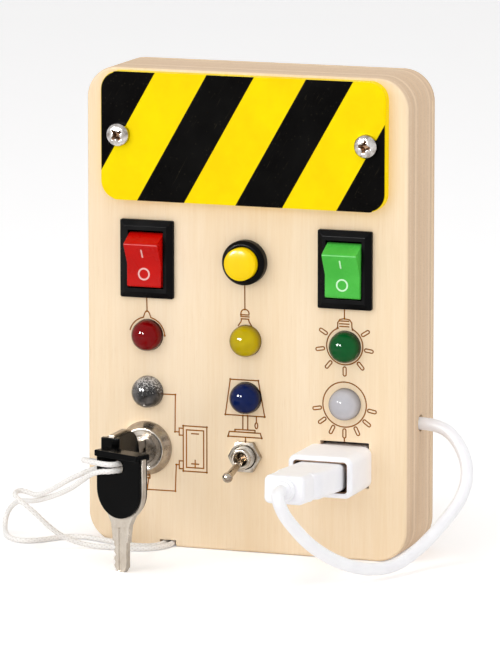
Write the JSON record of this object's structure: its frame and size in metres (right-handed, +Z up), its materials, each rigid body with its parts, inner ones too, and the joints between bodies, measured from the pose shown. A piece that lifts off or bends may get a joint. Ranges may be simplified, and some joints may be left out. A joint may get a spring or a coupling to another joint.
{
  "type": "wooden busy board",
  "caption": "Small upright plywood board for a toddler with rocker switches, push button, toggle, key switch, USB plug and socket, indicator lamps and a striped battery cover.",
  "frame": {"origin": "centre of the foot face that the board stands on, midway through its depth", "axes": "+X to the right as seen from the front, -Y out of the front panel, +Z up"},
  "size_m": [0.1321, 0.076, 0.1296],
  "materials": {
    "battery_wrap": "gloss",
    "birch_face": "satin",
    "black_plastic": "satin",
    "blue_lens": "gloss",
    "brass": "satin",
    "cable_jacket": "gloss",
    "circuit_green": "satin",
    "clear_lens": "gloss",
    "contact_nickel": "satin",
    "diffuse_lens": "satin",
    "green_lens": "gloss",
    "green_plastic": "gloss",
    "hazard_paint": "satin",
    "key_nickel": "satin",
    "key_plastic": "gloss",
    "lock_chrome": "polished",
    "nickel": "polished",
    "plywood_edge": "satin",
    "red_case": "satin",
    "red_lens": "gloss",
    "red_plastic": "gloss",
    "resistor_body": "satin",
    "screw_steel": "polished",
    "spring_steel": "satin",
    "string_white": "matte",
    "white_plastic": "gloss",
    "yellow_lens": "gloss",
    "yellow_plastic": "gloss"
  },
  "bodies": {
    "board": {"back_panel": "birch_face", "back_screws": "screw_steel", "batteries": "battery_wrap", "battery_contacts": "contact_nickel", "battery_tray": "black_plastic", "blue_lamp": "blue_lens", "body_frame": "plywood_edge", "button_collar": "black_plastic", "button_nut": "contact_nickel", "button_spring": "spring_steel", "button_terminals": "contact_nickel", "cable_stop": "white_plastic", "circuit_board": "circuit_green", "circuit_posts": "brass", "circuit_screws": "screw_steel", "clear_lamp": "clear_lens", "front_panel": "birch_face", "green_lamp": "green_lens", "green_rocker_housing": "black_plastic", "green_rocker_terminals": "contact_nickel", "grey_lamp": "diffuse_lens", "hazard_plate": "hazard_paint", "lamp_legs": "contact_nickel", "lock_base": "black_plastic", "lock_housing": "lock_chrome", "lock_nut": "nickel", "lock_terminals": "contact_nickel", "plate_screws": "screw_steel", "red_lamp": "red_lens", "red_rocker_housing": "black_plastic", "red_rocker_terminals": "contact_nickel", "resistors": "resistor_body", "socket_housing": "white_plastic", "socket_shell": "contact_nickel", "socket_tongue": "black_plastic", "string_knot": "string_white", "string_strand_a": "string_white", "string_strand_b": "string_white", "toggle_body": "red_case", "toggle_bushing": "nickel", "toggle_nut": "nickel", "toggle_terminals": "contact_nickel", "usb_cable": "cable_jacket", "yellow_lamp": "yellow_lens"},
    "red_rocker": {"red_rocker": "red_plastic"},
    "green_rocker": {"green_rocker": "green_plastic"},
    "push_button": {"button_cap": "yellow_plastic"},
    "toggle_lever": {"toggle_lever": "nickel"},
    "lock_rotor": {"lock_rotor": "lock_chrome"},
    "key_loop": {"string_loop": "string_white"},
    "lock_key": {"key_metal": "key_nickel", "key_cap": "key_plastic"},
    "spare_key": {"spare_key_metal": "key_nickel", "spare_key_cap": "key_plastic"},
    "usb_plug": {"plug_housing": "white_plastic", "plug_shell": "contact_nickel", "plug_insert": "white_plastic", "plug_boss": "white_plastic"}
  },
  "joints": [
    {"name": "red_rocker_tilt", "type": "hinge", "parent": "board", "child": "red_rocker", "pos_m": [-0.0278, -0.0105, 0.0779], "axis": [-1, 0, 0], "range_deg": [0, 28]},
    {"name": "green_rocker_tilt", "type": "hinge", "parent": "board", "child": "green_rocker", "pos_m": [0.0278, -0.0105, 0.0779], "axis": [-1, 0, 0], "range_deg": [0, 28]},
    {"name": "button_press", "type": "slide", "parent": "board", "child": "push_button", "axis": [0, 1, 0], "range_m": [0, 0.002], "stiffness_N_per_m": 400, "springref_m": -0.0008, "deforming": ["button_spring"]},
    {"name": "toggle_throw", "type": "hinge", "parent": "board", "child": "toggle_lever", "pos_m": [0, -0.013, 0.0261], "axis": [-1, 0, 0], "range_deg": [0, 26]},
    {"name": "lock_turn", "type": "hinge", "parent": "board", "child": "lock_rotor", "pos_m": [-0.0284, -0.0115, 0.0266], "axis": [0, 1, 0], "range_deg": [0, 90], "deforming": ["string_loop", "string_strand_a", "string_strand_b"]},
    {"name": "key_pull", "type": "slide", "parent": "board", "child": "key_loop", "axis": [0, -1, 0], "range_m": [0, 0.01], "deforming": ["string_strand_a", "string_strand_b"]},
    {"name": "key_turn", "type": "hinge", "parent": "key_loop", "child": "lock_key", "pos_m": [-0.0284, -0.0349, 0.0266], "axis": [0, 1, 0], "range_deg": [0, 90], "deforming": ["string_loop"]},
    {"name": "spare_key_swing", "type": "hinge", "parent": "key_loop", "child": "spare_key", "pos_m": [-0.0225, -0.0455, 0.0281], "axis": [0.3746, 0.9272, 0], "range_deg": [-40, 40], "deforming": ["string_loop", "string_strand_a", "string_strand_b"]},
    {"name": "usb_pull", "type": "slide", "parent": "board", "child": "usb_plug", "axis": [0, -1, 0], "range_m": [0, 0.015], "deforming": ["usb_cable"]}
  ],
  "couplings": [
    {"joint": "key_turn", "follows": "lock_turn", "ratio": 1}
  ]
}
